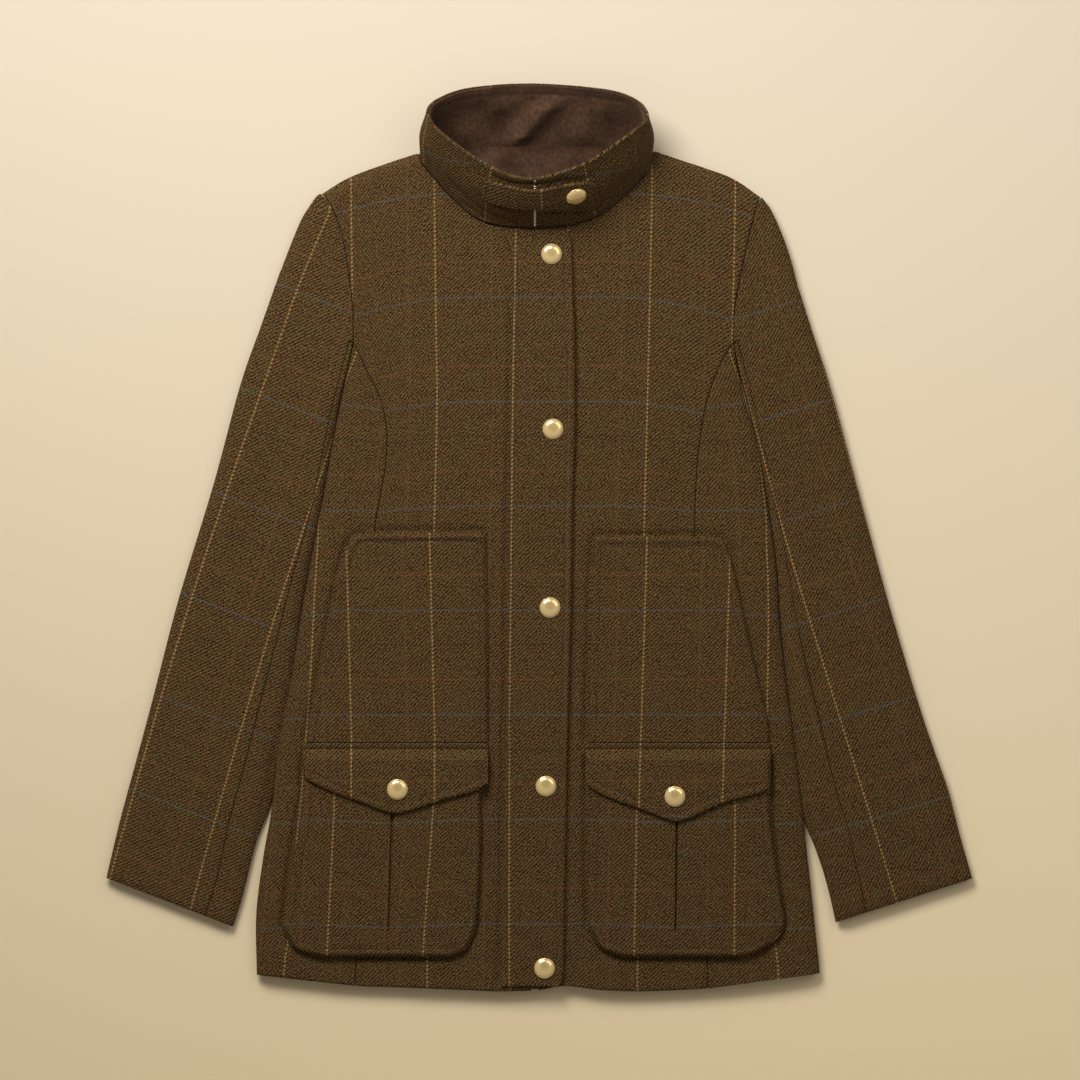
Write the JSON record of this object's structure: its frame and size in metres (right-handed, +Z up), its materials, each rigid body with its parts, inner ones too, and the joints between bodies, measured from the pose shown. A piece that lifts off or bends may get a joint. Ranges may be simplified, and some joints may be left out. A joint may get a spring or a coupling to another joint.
{
  "type": "field coat",
  "caption": "Tweed field coat laid flat and closed: stand collar with tab, snap placket over a zip, princess seams, flapped bellows pockets and set-in sleeves.",
  "frame": {"origin": "centre of the whole coat in plan, on the surface it lies on", "axes": "+Y from hem to collar, +Z up from the surface, +X towards the wearer's left sleeve"},
  "size_m": [0.78, 0.8172, 0.063],
  "materials": {
    "tweed": "matt brushed wool twill with a fine windowpane check",
    "brown_lining": "soft plain dark brown",
    "zip_tape": "woven tape",
    "gold_metal": "polished"
  },
  "bodies": {
    "root": {"front_right": "tweed", "front_left": "tweed", "side_front_right": "tweed", "side_front_left": "tweed", "back": "tweed", "sleeve_top_right": "tweed", "sleeve_top_left": "tweed", "sleeve_under_right": "tweed", "sleeve_under_left": "tweed", "collar": "tweed", "collar_tab": "tweed", "placket": "tweed", "pocket_upper_right": "tweed", "pocket_upper_left": "tweed", "pocket_lower_right": "tweed", "pocket_lower_left": "tweed", "pocket_flap_right": "tweed", "pocket_flap_left": "tweed", "collar_facing": "brown_lining", "neck_lining": "brown_lining", "zip": "zip_tape", "snap_1": "gold_metal", "snap_2": "gold_metal", "snap_3": "gold_metal", "snap_4": "gold_metal", "snap_5": "gold_metal", "snap_flap_right": "gold_metal", "snap_flap_left": "gold_metal", "snap_collar": "gold_metal"}
  },
  "joints": []
}
